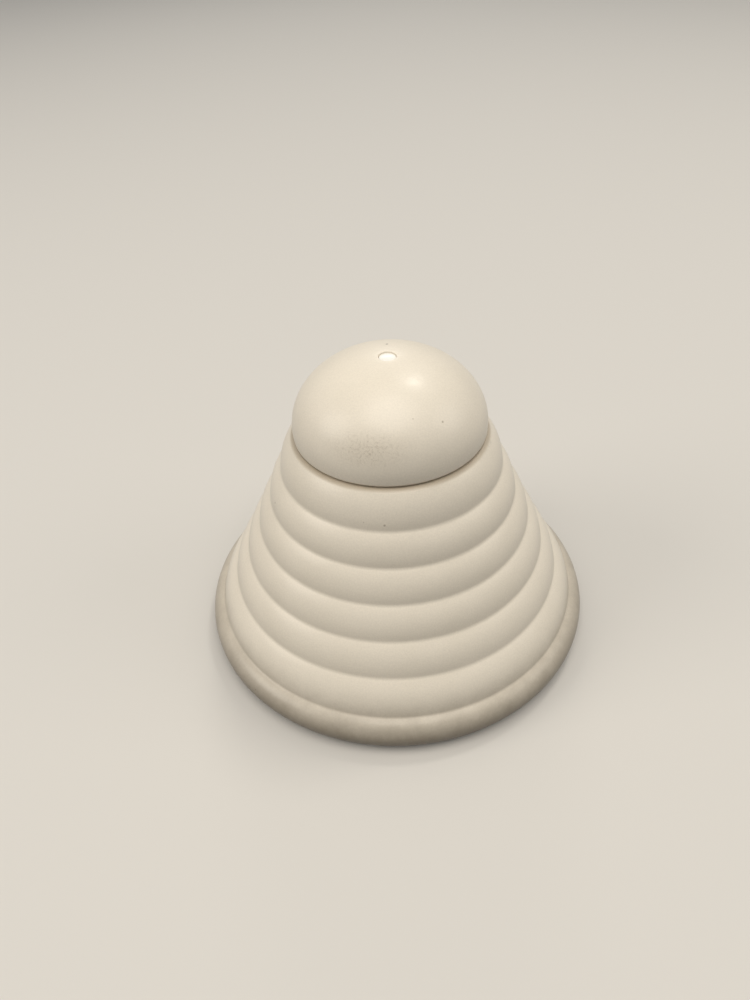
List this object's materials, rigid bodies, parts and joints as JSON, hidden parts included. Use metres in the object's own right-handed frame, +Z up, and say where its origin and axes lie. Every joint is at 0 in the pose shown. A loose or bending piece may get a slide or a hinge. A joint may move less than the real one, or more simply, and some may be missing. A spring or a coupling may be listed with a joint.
{
  "type": "pepper mill",
  "caption": "Ribbed bell-shaped hand pepper mill with a domed turning head, square drive spindle and an adjustable conical ceramic grinder.",
  "frame": {"origin": "centre of the rubber foot ring, on the surface the mill stands on", "axes": "+Z up along the turning axis of the head; the mill looks the same all round"},
  "size_m": [0.099, 0.099, 0.0753],
  "materials": {
    "cream_plastic": "fine spark-eroded matte, warm off-white",
    "base_plastic": "matte off-white, a shade darker",
    "clear_grey_plastic": "satin grey engineering plastic",
    "white_plug": "polished white",
    "black_rubber": "matte",
    "white_ceramic": "unglazed alumina",
    "acetal": "low-friction acetal",
    "spring_steel": "bright spring steel",
    "spindle_steel": "drawn stainless steel",
    "zinc_steel": "zinc-plated screws",
    "nut_brass": "turned brass",
    "knob_plastic": "satin black"
  },
  "bodies": {
    "body": {"body_shell": "cream_plastic", "foot_ring": "black_rubber", "base_plate": "base_plastic", "base_screws": "zinc_steel", "grinder_housing": "clear_grey_plastic", "housing_screws": "zinc_steel", "hopper_funnel": "base_plastic", "ring_burr": "white_ceramic", "burr_retainer": "acetal", "bridge_bush": "acetal", "glide_ring": "acetal"},
    "spindle": {"spindle": "spindle_steel", "spindle_clip": "spring_steel", "hub_washer": "spring_steel", "spring_washer": "spring_steel", "cone_spring": "spring_steel", "end_clip": "spring_steel"},
    "rotor": {"rotor_hub": "clear_grey_plastic", "cone_burr": "white_ceramic", "thrust_washer": "spring_steel"},
    "adjuster": {"adjuster_knob": "knob_plastic", "adjuster_nut": "nut_brass"},
    "head": {"dome_shell": "cream_plastic", "head_plate": "base_plastic", "head_screws": "zinc_steel", "head_seal": "black_rubber", "drive_socket": "spindle_steel", "crown_screw": "zinc_steel", "crown_plug": "white_plug"}
  },
  "joints": [
    {"name": "head_turn", "type": "hinge", "parent": "body", "child": "spindle", "pos_m": [0, 0, 0.03], "axis": [0, 0, 1], "continuous": true},
    {"name": "head_lift", "type": "slide", "parent": "spindle", "child": "head", "axis": [0, 0, 1], "range_m": [0, 0.04]},
    {"name": "rotor_gap", "type": "slide", "parent": "spindle", "child": "rotor", "axis": [0, 0, 1], "range_m": [0, 0.0012], "deforming": ["cone_spring"]},
    {"name": "adjuster_turn", "type": "hinge", "parent": "rotor", "child": "adjuster", "pos_m": [0, 0, 0.007], "axis": [0, 0, 1], "range_deg": [0, 540]}
  ],
  "couplings": [
    {"joint": "adjuster_turn", "follows": "rotor_gap", "rad_per_m": 7853.9}
  ]
}
